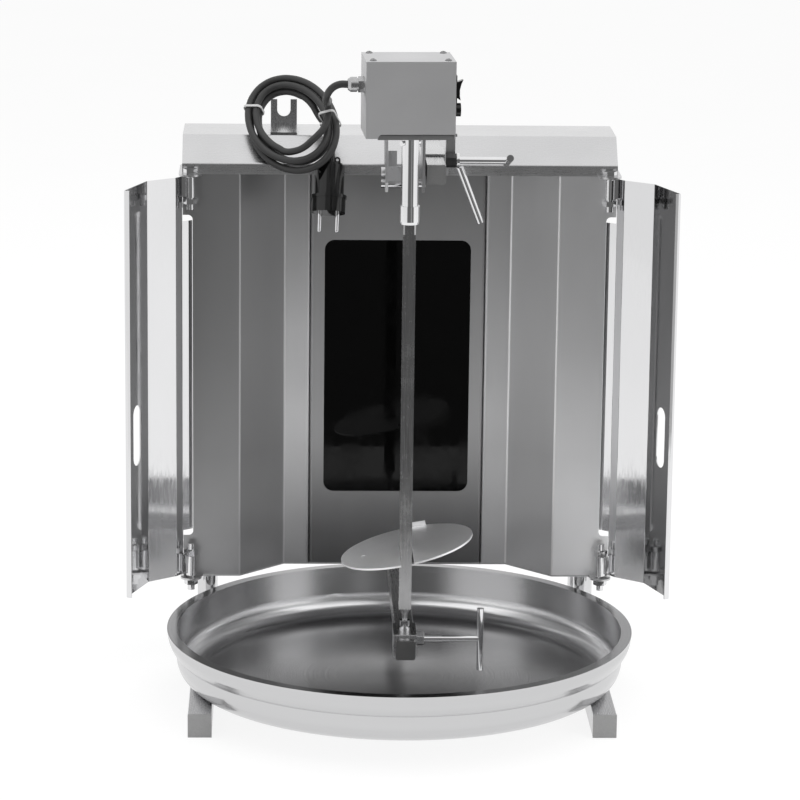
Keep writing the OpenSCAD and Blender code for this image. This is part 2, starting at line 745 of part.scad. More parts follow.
module motor_cover() {
    x = head_w / 2;
    y1 = head_y + head_l;
    in = x - cover_t;
    steel() head() difference() {
        box([-x, head_y, head_z], [x, y1, head_z + head_h]);
        box([-in, head_y + cover_t, head_z - 1], [in, y1 - cover_t, head_z + head_h - cover_t]);
        front_outline(head_y - 1, head_y + 2) {
            translate([notch_x + notch_h, head_z - 1]) square([x - notch_x - notch_h - cover_t, notch_h + 1]);
            translate([notch_x + notch_h, head_z]) circle(notch_h);
        }
        for (p = screw_spots)
            rod([p.x, p.y, head_z + head_h - 5], 3.7, 10);
        box([x - 3, switch_y - 6.1, rocker_z - 13.1], [x + 1, switch_y + 6.1, rocker_z + 13.1]);
        rod_x([x - 3, switch_y, fuse_z], 12.2, 5);
        rod_x([-x - 2, gland_y, gland_z], 12.2, 5);
    }
}

module cover_screws() {
    top = head_z + head_h;
    steel() head() for (p = screw_spots) {
        rod([p.x, p.y, top - 10], 3.5, 10);
        difference() {
            intersection() {
                rod([p.x, p.y, top], 7, 3);
                translate([p.x, p.y, top - 2.6]) sphere(4.9);
            }
            for (a = [0, 90])
                translate([p.x, p.y, top + 2]) rotate([0, 0, a + 20]) cube([4.4, 0.9, 2.4], center = true);
        }
    }
}

module gear_motor() {
    low = head_z + 3;
    color([0.45, 0.45, 0.46]) head() {
        difference() {
            box([-24, -113, low], [22, -64, low + 22]);
            rod([spit_x, spit_y, low - 1], 10.1, 24);
        }
        rod([-2, -89, low + 22], 36, 44);
    }
}

module switch_housing() {
    x = head_w / 2;
    black() head() difference() {
        union() {
            box([x - 16, switch_y - 6, rocker_z - 13], [x, switch_y + 6, rocker_z + 13]);
            box([x, switch_y - 7.5, rocker_z - 14.2], [x + 2.4, switch_y + 7.5, rocker_z + 14.2]);
        }
        box([x - 13, switch_y - 4.6, rocker_z - 11.4], [x + 3, switch_y + 4.6, rocker_z + 11.4]);
        rod_y_way([rocker_x, switch_y - 5.6, rocker_z], pivot_d + 2 * clear, 11.2);
    }
}

module rocker() {
    black() head() translate([rocker_x, switch_y, rocker_z]) rotate([0, rocker_rest, 0])
        front_outline(-4.2, 4.2)
            polygon([[-3, -4], [9.6, -10.6], [8.2, -6], [7.5, 0], [8.2, 6], [9.6, 10.6], [-3, 4]]);
    black() head() rod_y_way([rocker_x, switch_y - 5.4, rocker_z], pivot_d, 10.8);
}

module fuse_socket() {
    x = head_w / 2;
    black() head() difference() {
        union() {
            rod_x([x - 22, switch_y, fuse_z], 12, 22);
            rod_x([x, switch_y, fuse_z], 14.2, 1);
        }
        rod_x([x - 19, switch_y, fuse_z], 6.2, 30);
    }
}

module fuse_cap() {
    x = head_w / 2;
    black() head() {
        rod_x([x - 15, switch_y, fuse_z], 6, 16.3);
        difference() {
            rod_x([x + 1.3, switch_y, fuse_z], 13.8, 5.5);
            box([x + 5.6, switch_y - 5, fuse_z - 0.7], [x + 8, switch_y + 5, fuse_z + 0.7]);
        }
    }
}

module cable_gland() {
    x = -head_w / 2;
    steel() head() {
        rod_x([x - 1, gland_y, gland_z], 17, 1);
        rod_x([x, gland_y, gland_z], 12, 9);
        translate([x - 6, gland_y, gland_z]) rotate([0, 90, 0]) cylinder(h = 5, d = 16.6, $fn = 6);
        rod_x([x - 7.4, gland_y, gland_z], 13, 1.4);
        rod_x([gland_end + 3, gland_y, gland_z], 15.4, x - 7.4 - gland_end - 3);
        translate([gland_end, gland_y, gland_z]) rotate([0, 90, 0]) cylinder(h = 3, d1 = 11, d2 = 15.4);
    }
}

// a round tube along the points p, with the given number of sides
module cord(p, sides) {
    black() polyhedron(tube_points(p, coil_normal, cord_r, sides), tube_faces(len(p), sides));
}

module power_lead() { cord(lead_path, lead_sides); }
module lead_coil() { cord(coil_path, coil_sides); }
module plug_lead() { cord(plug_path, lead_sides); }

// a tie round the bundle: middle in the coil's plane, its turn, size across and through,
// depth, and where its lock sits
module tie(uv, angle, across, through, w, lock) {
    pos = placed(uv, w);
    x = cos(angle) * coil_right + sin(angle) * coil_up;
    y = coil_normal;
    z = cross(x, y);
    multmatrix([[x.x, y.x, z.x, pos.x], [x.y, y.y, z.y, pos.y], [x.z, y.z, z.z, pos.z], [0, 0, 0, 1]])
        linear_extrude(2.6, center = true) {
            difference() {
                rounded(across + 1.6, through + 1.6, 4.8);
                rounded(across, through, 4);
            }
            translate(lock) square([4, 3.4], center = true);
        }
}

module coil_ties() {
    left = [19.4, 16.6];
    right = [17, 30.2];
    color([0.9, 0.9, 0.9]) {
        tie([-50.7, 15.7], 185, left.x, left.y, 0, [0, -left.y / 2 - 2]);
        tie([45.4, 6.2], 22, right.x, right.y, 6.8, [-right.x / 2 - 2, -4]);
    }
}

module plug_frame() {
    translate(plug_pos) rotate(plug_lean) children();
}

module plug_body() {
    black() plug_frame() {
        difference() {
            union() {
                translate([0, 0, 0]) cylinder(h = 20, d1 = 11.5, d2 = 8.6);
                translate([0, 0, -2.2]) cylinder(h = 2.2, d = 27);
                translate([0, 0, -35]) cylinder(h = 32.8, d = 31.5);
                translate([0, 0, -38.4]) cylinder(h = 3.4, d = 38.6);
                translate([0, 0, -54]) cylinder(h = 15.6, d = 36.6);
            }
            for (s = [-1, 1])
                translate([s * 19.4, 0, -47]) cube([4, 8, 15], center = true);
        }
        translate([7.5, 1, 4.5]) rotate([90, 0, 0]) linear_extrude(2) difference() {
            union() {
                circle(3.4);
                translate([-3.4, -4.6]) square([6.8, 4.6]);
            }
            circle(1.6);
        }
    }
}

module plug_pins() {
    steel() plug_frame() for (s = [-1, 1]) {
        translate([s * 9.5, 0, -71]) cylinder(h = 17, d = 4.8);
        translate([s * 9.5, 0, -73]) sphere(d = 4.8);
        translate([s * 9.5, 0, -73]) cylinder(h = 2, d = 4.8);
    }
}

// two set screws across the top of the drive tube
module set_screws(d, l) {
    translate([spit_x, spit_y, 0]) for (a = [-145, 35])
        rotate([0, 0, a]) rod_x([drive_d / 2 - 0.6, 0, drive_top - 6], d, l);
}

module drive_tube() {
    steel() difference() {
        union() {
            rod([spit_x, spit_y, drive_end], drive_d, drive_top - drive_end);
            rod([spit_x, spit_y, drive_top], 10, 26);
        }
        rod([spit_x, spit_y, drive_end - 1], 10.2, 46);
        set_screws(5.6, 4);
    }
}

module drive_screws() { steel() set_screws(5.5, 3.4); }

// the collar carries the spit's square end up to the drive tube's end
module lock_collar() {
    side = spit_side + 2 * clear;
    steel() difference() {
        union() {
            translate([spit_x, spit_y, collar_z[0]])
                cylinder(h = collar_z[1] - collar_z[0], d1 = collar_end_d, d2 = collar_d);
            rod([spit_x, spit_y, collar_z[1]], collar_d, collar_z[2] - collar_z[1]);
        }
        rod([spit_x, spit_y, spit_top + 1], drive_d + clear, 30);
        intersection() {
            translate([spit_x - side / 2, spit_y - side / 2, collar_z[0] - 1]) cube([side, side, 12]);
            rod([spit_x, spit_y, collar_z[0] - 2], spit_neck_d + 4 * clear, 14);
        }
    }
}

// the square spit: its corners are turned off where it runs in the collar
module spit() {
    steel() {
        translate([spit_x - spit_side / 2, spit_y - spit_side / 2, spit_bottom])
            cube([spit_side, spit_side, spit_neck - spit_bottom]);
        intersection() {
            translate([spit_x - spit_side / 2, spit_y - spit_side / 2, spit_neck])
                cube([spit_side, spit_side, spit_top - spit_neck]);
            rod([spit_x, spit_y, spit_neck - 1], spit_neck_d, spit_top - spit_neck + 2);
        }
        rod([spit_x, spit_y, spit_top], 10, 29.5);
        translate([spit_x, spit_y, spit_bottom - 7]) cylinder(h = 7, d1 = 6, d2 = spit_side);
        rod([spit_x, spit_y, 110.5], 6, spit_bottom - 7 - 110.5);
    }
}

// the disc has a slot to its front edge, a round hole and a grip tab at the back
module meat_disc() {
    half = spit_side / 2 + 0.25;
    reach = 40;
    steel() difference() {
        translate([spit_x + 1.3, spit_y, disc_z]) rotate([0, -disc_tilt, 0]) {
            cylinder(h = 2, d = disc_d, center = true, $fn = 120);
            translate([15, disc_d / 2 - 4, 1]) rotate([0, 0, -12]) translate([-8, 0, 0]) cube([16, 1.5, 5]);
        }
        box([spit_x - half, spit_y - disc_d, disc_z - reach], [spit_x + half, spit_y + half, disc_z + reach]);
        rod([-42, -104, disc_z - reach], 4, 2 * reach);
    }
}

module upper_clamp_screw() {
    x = upper_arm_x + arm_side / 2 + 0.1;
    steel() {
        rod_x([x, clamp_y, clamp_z], bolt_d, 71 - x);
        rod_x([71, clamp_y, clamp_z], 8, 40);
        translate([113.5, clamp_y, clamp_z]) rotate([-90 - handle_tilt, 0, 0])
            cylinder(h = 67, d = 7.6, center = true);
    }
}

module lock_lever() {
    reach = [23.3, 0, -60];
    steel() difference() {
        union() {
            rod_x([58.4, clamp_y, clamp_z], 16, 2.6);
            translate([61.6, clamp_y, clamp_z - 7.5]) rotate([0, 180 - atan2(reach.x, -reach.z), 0])
                cylinder(h = norm(reach), d = 7.8);
        }
        rod_x([50, clamp_y, clamp_z], bolt_d + 2 * clear, 20);
    }
}

module lower_sleeve() {
    steel() difference() {
        union() {
            square_tube(lower_arm_x, lower_arm_z, sleeve_side, lower_sleeve_y[0], lower_sleeve_y[1],
                sleeve_wall);
            hex_x([lower_arm_x + sleeve_side / 2, spit_y, lower_clamp_z], 8.3);
        }
        rod_x([lower_arm_x + 5, spit_y, lower_clamp_z], bolt_d + 2 * clear, 20);
    }
}

module pivot_cup() {
    z = lower_arm_z + sleeve_side / 2;
    steel() difference() {
        union() {
            rod([spit_x, spit_y, z], 11, 2);
            rod([spit_x, spit_y, z + 2], 8.6, 1.6);
            rod([spit_x, spit_y, z + 3.6], 10.6, 118 - z - 3.6);
        }
        rod([spit_x, spit_y, 110.3], 6.1, 10);
    }
}

module lower_clamp_screw() {
    x = lower_arm_x + arm_side / 2 + 0.1;
    steel() {
        rod_x([x, spit_y, lower_clamp_z], bolt_d, 41 - x);
        rod_x([41, spit_y, lower_clamp_z], 6.8, 40);
        rod([81.5, spit_y, lower_clamp_z - 34], 7.2, 67);
    }
}

legs();
leg_end_caps();
cross_bars();
posts();
post_bolts();
floor_plate();
top_plate();
rear_cover();
left_wing();
right_wing();
centre_panel();
glass();
glass_frame();
reflector();
heating_element();
insulation();
terminal_block();
hood();
spit_rest();
arm_mounts();
lower_arm();
lower_arm_cap();
upper_arm();
upper_arm_cap();
left_hinge_bolts();
right_hinge_bolts();
left_door();
right_door();
pan();
upper_sleeve();
clamp_nut();
side_plate();
cross_rod();
head_bracket();
motor_base();
motor_cover();
cover_screws();
gear_motor();
switch_housing();
rocker();
fuse_socket();
fuse_cap();
cable_gland();
power_lead();
lead_coil();
plug_lead();
coil_ties();
plug_body();
plug_pins();
drive_tube();
drive_screws();
lock_collar();
spit();
meat_disc();
upper_clamp_screw();
lock_lever();
lower_sleeve();
pivot_cup();
lower_clamp_screw();
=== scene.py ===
import json
import math

import bpy
from mathutils import Matrix, Vector


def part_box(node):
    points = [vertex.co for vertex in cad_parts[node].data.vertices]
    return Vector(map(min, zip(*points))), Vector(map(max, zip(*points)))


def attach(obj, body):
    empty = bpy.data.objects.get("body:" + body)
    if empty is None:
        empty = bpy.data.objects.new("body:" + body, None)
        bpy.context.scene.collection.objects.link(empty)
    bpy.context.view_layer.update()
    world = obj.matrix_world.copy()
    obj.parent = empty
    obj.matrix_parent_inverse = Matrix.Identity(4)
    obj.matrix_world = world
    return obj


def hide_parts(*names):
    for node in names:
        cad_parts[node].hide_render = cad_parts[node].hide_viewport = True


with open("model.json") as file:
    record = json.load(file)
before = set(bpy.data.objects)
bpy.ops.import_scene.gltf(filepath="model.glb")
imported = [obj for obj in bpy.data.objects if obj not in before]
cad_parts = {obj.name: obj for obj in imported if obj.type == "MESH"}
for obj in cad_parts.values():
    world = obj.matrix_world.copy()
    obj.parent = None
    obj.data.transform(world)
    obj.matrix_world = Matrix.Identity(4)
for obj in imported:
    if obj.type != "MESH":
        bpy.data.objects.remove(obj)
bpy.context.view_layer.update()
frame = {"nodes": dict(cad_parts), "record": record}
mm = 0.001

# Camera: where the photograph was taken from, in metres and radians.
CAMERA_PLACE = Vector((-0.1237, -3.6208, 1.1752))
CAMERA_YAW = 0.033537
CAMERA_PITCH = 0.228872
CAMERA_ROLL = -0.011818
LENS = 157.5


def make_camera():
    forward = Vector((math.sin(CAMERA_YAW) * math.cos(CAMERA_PITCH),
                      math.cos(CAMERA_YAW) * math.cos(CAMERA_PITCH),
                      -math.sin(CAMERA_PITCH)))
    right = Vector((math.cos(CAMERA_YAW), -math.sin(CAMERA_YAW), 0))
    down = forward.cross(right)
    x = math.cos(CAMERA_ROLL) * right + math.sin(CAMERA_ROLL) * down
    y = math.sin(CAMERA_ROLL) * right - math.cos(CAMERA_ROLL) * down
    camera = bpy.data.objects.new("camera", bpy.data.cameras.new("camera"))
    camera.data.lens = LENS
    camera.data.sensor_width = 36
    camera.data.clip_end = 200
    turn = Matrix((x, y, -forward)).transposed()
    camera.matrix_world = Matrix.Translation(CAMERA_PLACE) @ turn.to_4x4()
    bpy.context.scene.collection.objects.link(camera)
    bpy.context.scene.camera = camera


make_camera()


# Materials. The tangent of a metal gets this much, so that it never becomes zero.
NEVER_ZERO = (0.001, 0.001, 0.002)
CABINET_MIDDLE = 0.5 * sum(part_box("centre_panel")[i][2] for i in (0, 1))
CABINET_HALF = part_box("centre_panel")[1][2] - CABINET_MIDDLE


class Shader:
    """A Principled material and short calls for the nodes that feed it."""

    def __init__(self, name, colour, rough, metallic=0.0):
        self.material = bpy.data.materials.new(name)
        self.material.use_nodes = True
        self.nodes = self.material.node_tree.nodes
        self.links = self.material.node_tree.links
        self.main = self.nodes["Principled BSDF"]
        self.colour = colour
        self.rough = rough
        self.main.inputs["Metallic"].default_value = metallic
        self.main.inputs["Base Color"].default_value = (*colour, 1)
        self.main.inputs["Roughness"].default_value = rough
        self.place = self.nodes.new("ShaderNodeTexCoord").outputs["Object"]

    def noise(self, scale, stretch=(1, 1, 1), detail=3.0, roughness=0.55):
        mapping = self.nodes.new("ShaderNodeMapping")
        mapping.inputs["Scale"].default_value = [scale * s for s in stretch]
        self.links.new(self.place, mapping.inputs["Vector"])
        noise = self.nodes.new("ShaderNodeTexNoise")
        noise.inputs["Scale"].default_value = 1
        noise.inputs["Detail"].default_value = detail
        noise.inputs["Roughness"].default_value = roughness
        self.links.new(mapping.outputs["Vector"], noise.inputs["Vector"])
        return noise.outputs["Fac"]

    def ramp(self, value, low, high, start=0.35, end=0.65):
        node = self.nodes.new("ShaderNodeMapRange")
        node.inputs["From Min"].default_value = start
        node.inputs["From Max"].default_value = end
        node.inputs["To Min"].default_value = low
        node.inputs["To Max"].default_value = high
        self.links.new(value, node.inputs["Value"])
        return node.outputs["Result"]

    def maths(self, operation, a, b):
        node = self.nodes.new("ShaderNodeMath")
        node.operation = operation
        for socket, value in zip(node.inputs, (a, b)):
            if isinstance(value, (int, float)):
                socket.default_value = value
            else:
                self.links.new(value, socket)
        return node.outputs["Value"]

    def vectors(self, operation, *values):
        """A vector calculation on sockets and fixed vectors, in that order."""
        node = self.nodes.new("ShaderNodeVectorMath")
        node.operation = operation
        for socket, value in zip(node.inputs, values):
            if isinstance(value, tuple):
                socket.default_value = value
            else:
                self.links.new(value, socket)
        return node

    def tint(self, factor):
        """The base colour times a factor that varies over the surface."""
        node = self.vectors("SCALE", self.colour)
        self.links.new(factor, node.inputs["Scale"])
        self.links.new(node.outputs["Vector"], self.main.inputs["Base Color"])

    def roughen(self, value):
        self.links.new(value, self.main.inputs["Roughness"])

    def bump(self, height, distance, strength=1.0):
        node = self.nodes.new("ShaderNodeBump")
        node.inputs["Distance"].default_value = distance
        node.inputs["Strength"].default_value = strength
        self.links.new(height, node.inputs["Height"])
        self.links.new(node.outputs["Normal"], self.main.inputs["Normal"])

    def spread_across(self, grain, amount):
        """What the surface mirrors is spread across its grain."""
        cross = self.vectors("CROSS_PRODUCT", self.normal(), grain)
        safe = self.vectors("ADD", cross.outputs["Vector"], NEVER_ZERO)
        self.links.new(safe.outputs["Vector"], self.main.inputs["Tangent"])
        self.main.inputs["Anisotropic"].default_value = amount

    def normal(self):
        """The surface's direction in the world."""
        return self.nodes.new("ShaderNodeNewGeometry").outputs["Normal"]

    def split(self, vector):
        node = self.nodes.new("ShaderNodeSeparateXYZ")
        self.links.new(vector, node.inputs["Vector"])
        return node.outputs

    def faces(self, axis, limit):
        """1 where the surface's direction in the world, along the axis, is under the limit."""
        return self.maths("LESS_THAN", self.split(self.normal())[axis], limit)

    def place_along(self, axis):
        """The place along an axis of the object, in metres."""
        return self.split(self.place)[axis]

    def distance_along(self, axis):
        """How far from the object's middle a place is along an axis, in metres."""
        return self.maths("ABSOLUTE", self.place_along(axis), 0)


def metal(name, grey, rough, grain=(60, 60, 1), fine=30.0, depth=0.02, contrast=0.06, wear=0.05,
          spread=0.0):
    """Stainless steel with grain along the axis of the smallest number, and slightly worn.
    The grain spreads what it mirrors across its own direction."""
    s = Shader(name, (grey, grey, grey * 1.01), rough, 1.0)
    if spread:
        s.spread_across((1, 0, 0) if grain[0] < grain[2] else (0, 0, 1), spread)
    lines = s.noise(fine, grain, 4)
    cloud = s.noise(9, (1, 1, 1), 2)
    smudge = s.noise(35, (1, 1, 1), 5, 0.65)
    shade = s.maths("ADD", s.ramp(lines, 1 - contrast, 1 + contrast), s.ramp(cloud, -0.04, 0.04))
    s.tint(shade)
    worn = s.maths("ADD", s.ramp(lines, rough - 0.03, rough + 0.05), s.ramp(smudge, 0, wear, 0.5, 0.75))
    s.roughen(worn)
    s.bump(lines, depth * mm)
    return s


def plastic(name, grey, rough, grain, depth, speck=0.04):
    s = Shader(name, (grey, grey, grey), rough)
    fine = s.noise(grain, (1, 1, 1), 2)
    cloud = s.noise(40, (1, 1, 1), 3)
    s.tint(s.maths("ADD", s.ramp(fine, 1 - speck, 1 + speck), s.ramp(cloud, -0.05, 0.05)))
    s.roughen(s.ramp(cloud, rough - 0.04, rough + 0.06))
    s.bump(fine, depth * mm)
    return s


RING_SCALE = 700
RING_DEPTH = 0.002 * mm
PAN_SPREAD = 0.5
# Painted light on the pan's inner wall and painted shade on its bottom
PAN_WALL_PAINTED_LIGHT = 0.6
PAN_BOTTOM_PAINTED_SHADE = -0.42


def pan_steel():
    """Spun steel: fine rings run round the pan's axis. The inner wall is brighter by painted light
    and the bottom darker by painted shade, after the greys of the photograph."""
    s = metal("pan_steel", 0.6, 0.2, (1, 1, 1), 8, 0.001, 0.01)
    flat = s.vectors("MULTIPLY", s.place, (1, 1, 0)).outputs["Vector"]
    radius = s.vectors("LENGTH", flat).outputs["Value"]
    rings = s.nodes.new("ShaderNodeTexNoise")
    rings.noise_dimensions = "1D"
    rings.inputs["Scale"].default_value = RING_SCALE
    rings.inputs["Detail"].default_value = 3
    s.links.new(radius, rings.inputs["W"])
    outwards = s.vectors("DOT_PRODUCT", flat, s.normal()).outputs["Value"]
    # Painted light on the inner wall, painted shade on the bottom
    inner_wall = s.ramp(outwards, 1.0, 0.0, -0.16, -0.08)
    bottom = s.ramp(s.split(s.normal())["Z"], 0.0, 1.0, 0.9, 0.99)
    shade = s.maths("ADD", s.maths("MULTIPLY", inner_wall, PAN_WALL_PAINTED_LIGHT),
                    s.maths("MULTIPLY", bottom, PAN_BOTTOM_PAINTED_SHADE))
    s.tint(s.maths("ADD", shade, 1.0))
    s.roughen(s.ramp(rings.outputs["Fac"], 0.16, 0.26))
    s.bump(rings.outputs["Fac"], RING_DEPTH)
    s.main.inputs["Anisotropic"].default_value = PAN_SPREAD
    return s


# Where the doors fold between their inner and outer leaf, and how far the inner face of the
# outer leaf must turn from the X axis to count
DOOR_FOLD = 274 * mm
INNER_FACE = -0.5


def door_steel(name, grey, outer_leaf_painted_shade):
    """Mirror-bright sheet. The inner face of the outer leaf is tinted by the last value as painted
    shade, while the door stands open."""
    s = metal(name, grey, 0.06, (12, 12, 2), 30, 0.0, 0.01, 0.02)
    # Painted shade on the inner face of the outer leaf
    far = s.maths("GREATER_THAN", s.distance_along("X"), DOOR_FOLD)
    inner = s.maths("MULTIPLY", far, s.faces("X", INNER_FACE))
    cloud = s.ramp(s.noise(5, (1, 1, 0.4), 2), -0.04, 0.04)
    s.tint(s.maths("ADD", s.ramp(inner, 1.0, outer_leaf_painted_shade, 0, 1), cloud))
    return s


# Folds of the sheet behind the spit, as distances from the middle
FOLD_LINES = (125.3 * mm, 174.3 * mm)
FOLD_HALF = 1.3 * mm
# Painted highlight along the folds, where the bent sheet catches the light
FOLD_PAINTED_HIGHLIGHT = 0.8
# The low end's painted light or shade: full below the first value, none above the second, in half
# heights from the middle
LOW_END = (-0.85, -0.4)
# The painted highlight at mid height falls off as a bell curve over the height
BAND_FALL = -6
BELL_BASE = 2.718
FINE_GRAIN = (60, 60, 0.6)
GRAIN_SCALE = 40
SHEET_SPREAD = 0.75


def sheet_steel(name, grey, rough, mid_height_painted_highlight, ends_painted_shade, low_end_painted_light_and_shade, inner_strip_painted_light=0.0, outer_strip_painted_light=0.0):
    """Finely brushed sheet with painted light and shade by place, after the greys of the photograph:
    a painted highlight at mid height and along the folds, painted shade towards its ends, and
    painted light or shade by the other values at its low end and in the strips beside the slanted part."""
    s = metal(name, grey, rough, FINE_GRAIN, GRAIN_SCALE, 0.0005, 0.008, 0.03, SHEET_SPREAD)
    away = s.maths("DIVIDE", s.maths("SUBTRACT", s.place_along("Z"), CABINET_MIDDLE), CABINET_HALF)
    # Painted shade towards the top and bottom ends, and a painted highlight at mid height
    painted_end_shade = s.maths("MULTIPLY", s.maths("MULTIPLY", away, away), -ends_painted_shade)
    tint = s.maths("MULTIPLY", s.maths("MULTIPLY", away, away), BAND_FALL)
    tint = s.maths("MULTIPLY", s.maths("POWER", BELL_BASE, tint), mid_height_painted_highlight)
    lines = s.noise(GRAIN_SCALE, FINE_GRAIN, 4)
    cloud = s.noise(4, (2, 2, 0.6), 3)
    shade = s.maths("ADD", s.ramp(lines, 0.99, 1.01), s.ramp(cloud, -0.04, 0.04))
    across = s.distance_along("X")
    # Painted highlights along the folds
    for line in FOLD_LINES:
        off = s.maths("ABSOLUTE", s.maths("SUBTRACT", across, line), 0)
        tint = s.maths("ADD", tint, s.ramp(off, FOLD_PAINTED_HIGHLIGHT, 0.0, 0.4 * FOLD_HALF, FOLD_HALF))
    # Painted light inside the inner fold, strongest at mid height
    strip = s.ramp(across, inner_strip_painted_light, 0.0, FOLD_LINES[0] - 1 * mm, FOLD_LINES[0])
    middle = s.ramp(s.maths("ABSOLUTE", away, 0), 1.0, 0.2, 0.2, 1.0)
    tint = s.maths("ADD", tint, s.maths("MULTIPLY", strip, middle))
    # Painted light outside the outer fold
    strip = s.ramp(across, 0.0, outer_strip_painted_light, FOLD_LINES[1], FOLD_LINES[1] + 1 * mm)
    tint = s.maths("ADD", tint, strip)
    # Painted light or shade at the low end, by the sign of its value
    tint = s.maths("ADD", tint, s.ramp(away, low_end_painted_light_and_shade, 0.0, *LOW_END))
    s.tint(s.maths("ADD", s.maths("ADD", shade, painted_end_shade), tint))
    return s


# Grain: the noise is stretched along the axis of the smallest number
UPRIGHT = (60, 60, 0.8)
ALONG_X = (0.8, 60, 60)
ALONG_Y = (60, 0.8, 60)
MATERIALS = {
    "brushed": metal("brushed", 0.62, 0.3, UPRIGHT, 40, 0.0015, 0.01),
    "polished": metal("polished", 0.78, 0.06, (12, 12, 2), 30, 0.0002, 0.01, 0.02),
    "tube_steel": metal("tube_steel", 0.6, 0.26, ALONG_Y, 30, 0.01, 0.05),
    "dark_steel": metal("dark_steel", 0.1, 0.4, (10, 10, 10), 20, 0.02, 0.1),
    "heater": metal("heater", 0.2, 0.5, (6, 6, 6), 40, 0.03, 0.15),
    "bright_sheet": metal("bright_sheet", 0.7, 0.2, (20, 20, 1), 20, 0.01, 0.05),
    "motor_metal": metal("motor_metal", 0.35, 0.45, (8, 8, 8), 40, 0.05, 0.1),
    "dark_plastic": plastic("dark_plastic", 0.035, 0.5, 900, 0.06),
    "grey_cap": plastic("grey_cap", 0.2, 0.45, 900, 0.04),
    "light_cap": plastic("light_cap", 0.42, 0.45, 900, 0.03),
    "black_plastic": plastic("black_plastic", 0.004, 0.06, 1200, 0.001),
    "cord_rubber": plastic("cord_rubber", 0.04, 0.5, 1500, 0.02, 0.08),
    "white_plastic": plastic("white_plastic", 0.7, 0.4, 1200, 0.02),
    "black_glass": plastic("black_glass", 0.002, 0.05, 60, 0.0003),
    "insulation": plastic("insulation", 0.6, 0.95, 500, 0.5, 0.2),
    "ceramic": plastic("ceramic", 0.75, 0.2, 300, 0.02),
}
MATERIALS["black_glass"].main.inputs["Specular IOR Level"].default_value = 0.2

# These nodes have a material of their own. The greys of the sheets follow the photograph's light,
# so the same steel has other greys on other pieces, as painted light and shade.
OWN_MATERIAL = {
    "left_wing": sheet_steel("left_wing_steel", 0.35, 0.42, 0.05, 0.1, 0.4, 1.5, 0.12),
    "right_wing": sheet_steel("right_wing_steel", 0.54, 0.42, 0.05, 0.05, 0.3, 0.3, 0.6),
    "centre_panel": sheet_steel("centre_panel_steel", 0.5, 0.42, 0.1, 0.35, -0.25),
    "left_door": door_steel("left_door_steel", 0.76, 1.0),
    "right_door": door_steel("right_door_steel", 0.76, 0.3),
    "pan": pan_steel(),
    "lower_arm_cap": plastic("lower_cap", 0.1, 0.4, 900, 0.01),
    "spit": metal("spit_steel", 0.42, 0.2, UPRIGHT, 30, 0.02, 0.1, 0.1),
    "meat_disc": metal("disc_steel", 0.98, 0.45, (2, 40, 40), 30, 0.002, 0.02),
    "posts": metal("post_steel", 0.7, 0.12, UPRIGHT, 30, 0.01, 0.04),
    "cover_screws": metal("screw_steel", 0.3, 0.25, (10, 10, 10), 30, 0.01, 0.05),
    "hood": metal("hood_steel", 0.66, 0.26, ALONG_X, 40, 0.001, 0.01),
    "motor_cover": metal("cover_steel", 0.74, 0.62, ALONG_X, 40, 0.0005, 0.02, 0.05, 0.8),
    "motor_base": metal("base_steel", 0.4, 0.5, ALONG_X, 40, 0.0005, 0.02, 0.05, 0.8),
    "cable_gland": metal("gland_steel", 0.5, 0.25, (10, 10, 10), 30, 0.005, 0.05),
}

for part in frame["record"]["subparts"]:
    node = frame["nodes"][part["node"]]
    shader = OWN_MATERIAL.get(part["node"], MATERIALS[part["material_slot"]])
    node.data.materials.clear()
    node.data.materials.append(shader.material)

# Edges that catch the light: the width of the small bevel, in metres
SOFT_EDGES = {
    "spit": 0.8 * mm,
    "legs": 0.8 * mm,
    "upper_arm": 0.8 * mm,
    "lower_arm": 0.8 * mm,
    "upper_sleeve": 0.6 * mm,
    "lower_sleeve": 0.6 * mm,
    "head_bracket": 0.4 * mm,
}
SHARP_ANGLE = math.radians(40)


def soften(node, width):
    weld = node.modifiers.new("weld", "WELD")
    weld.merge_threshold = 0.001 * mm
    bevel = node.modifiers.new("soft_edge", "BEVEL")
    bevel.width = width
    bevel.segments = 2
    bevel.limit_method = "ANGLE"
    bevel.angle_limit = SHARP_ANGLE
    bevel.harden_normals = True


for name, width in SOFT_EDGES.items():
    soften(frame["nodes"][name], width)


# The lead: the route's points repeat those of part.scad, in metres
CORD_D = 7.6 * mm
HEAD_TURN = math.radians(2.75)
SPIT = Vector((2, -100, 0)) * mm
GLAND_END = Vector((-62, -95, 682)) * mm
LEAD_ROUTE = [
    (-75.8, -97.8, 679.6), (-80.2, -95.4, 675.2), (-82.8, -90, 669.8), (-83.8, -81, 664.6),
    (-83.8, -67, 660.4), (-83.2, -46, 656), (-82.4, -23, 652.4), (-81.4, 2, 649),
    (-80.6, 25, 646), (-80, 48, 643.4), (-79.5, 70, 641), (-79.2, 90, 638.5),
    (-79, 104, 636), (-79, 114, 633), (-79, 120.8, 628.8), (-79, 124.2, 623.6),
    (-79.4, 124.4, 617.6), (-80.6, 121.2, 611), (-83.8, 116, 604.6), (-89.4, 111.6, 598.4),
    (-96.4, 109.6, 592), (-105, 110, 584.5), (-115, 114.5, 579.5),
]
PLUG_ROUTE = [
    (-95.5, 166, 621.5), (-91.5, 163, 615), (-87.5, 159.5, 609),
    (-82.5, 153.5, 604), (-77.5, 145.5, 598),
]
PLUG_PLACE = Vector((-76.5, 125.3, 564)) * mm
PLUG_LEAN = (math.radians(-20), math.radians(2))
PLUG_ENTRY = 20 * mm
COIL_CENTRE = Vector((-118, 148.5, 602.5)) * mm
COIL_NORMAL = Vector((-0.33, -0.7071, 0.7071)).normalized()
COIL_RIGHT = Vector((0, 0, 1)).cross(COIL_NORMAL).normalized()
COIL_UP = COIL_NORMAL.cross(COIL_RIGHT)
COIL_SLANT = math.radians(-45)
